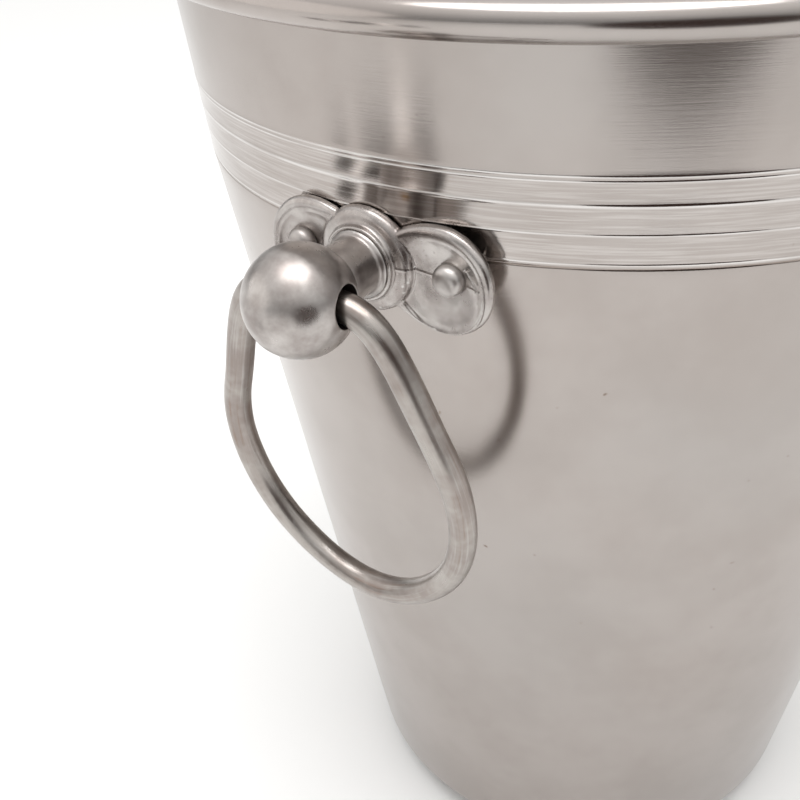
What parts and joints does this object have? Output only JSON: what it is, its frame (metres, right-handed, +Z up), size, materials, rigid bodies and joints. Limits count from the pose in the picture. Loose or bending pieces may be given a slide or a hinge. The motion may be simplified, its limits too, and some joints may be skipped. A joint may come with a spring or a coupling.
{
  "type": "champagne bucket",
  "caption": "Tapered spun-metal champagne bucket with a curled rim, a foot ring, and a ball-mounted drop ring handle on each side.",
  "frame": {"origin": "centre of the foot ring's underside, on the surface that the bucket stands on", "axes": "+Z up along the bucket's axis; +X out through the right handle, and the left handle is at -X"},
  "size_m": [0.2648, 0.2188, 0.265],
  "materials": {
    "spun_pewter": "satin, lathe burnished near the rim",
    "polished_pewter": "polished",
    "plain_steel": "plain"
  },
  "bodies": {
    "bucket": {"body_shell": "spun_pewter", "rim_wire": "plain_steel", "foot_ring": "spun_pewter", "escutcheon_left": "polished_pewter", "ball_stud_left": "polished_pewter", "stud_washer_left": "plain_steel", "stud_nut_left": "plain_steel", "rivet_left_front": "polished_pewter", "burr_left_front": "plain_steel", "rivet_left_back": "polished_pewter", "burr_left_back": "plain_steel", "escutcheon_right": "polished_pewter", "ball_stud_right": "polished_pewter", "stud_washer_right": "plain_steel", "stud_nut_right": "plain_steel", "rivet_right_front": "polished_pewter", "burr_right_front": "plain_steel", "rivet_right_back": "polished_pewter", "burr_right_back": "plain_steel"},
    "ring_left": {"drop_ring_left": "polished_pewter"},
    "ring_right": {"drop_ring_right": "polished_pewter"}
  },
  "joints": [
    {"name": "ring_swing_left", "type": "hinge", "parent": "bucket", "child": "ring_left", "pos_m": [-0.1197, 0, 0.215], "axis": [0, 1, 0], "range_deg": [-13, 198]},
    {"name": "ring_swing_right", "type": "hinge", "parent": "bucket", "child": "ring_right", "pos_m": [0.1197, 0, 0.215], "axis": [0, -1, 0], "range_deg": [-13, 198]}
  ]
}
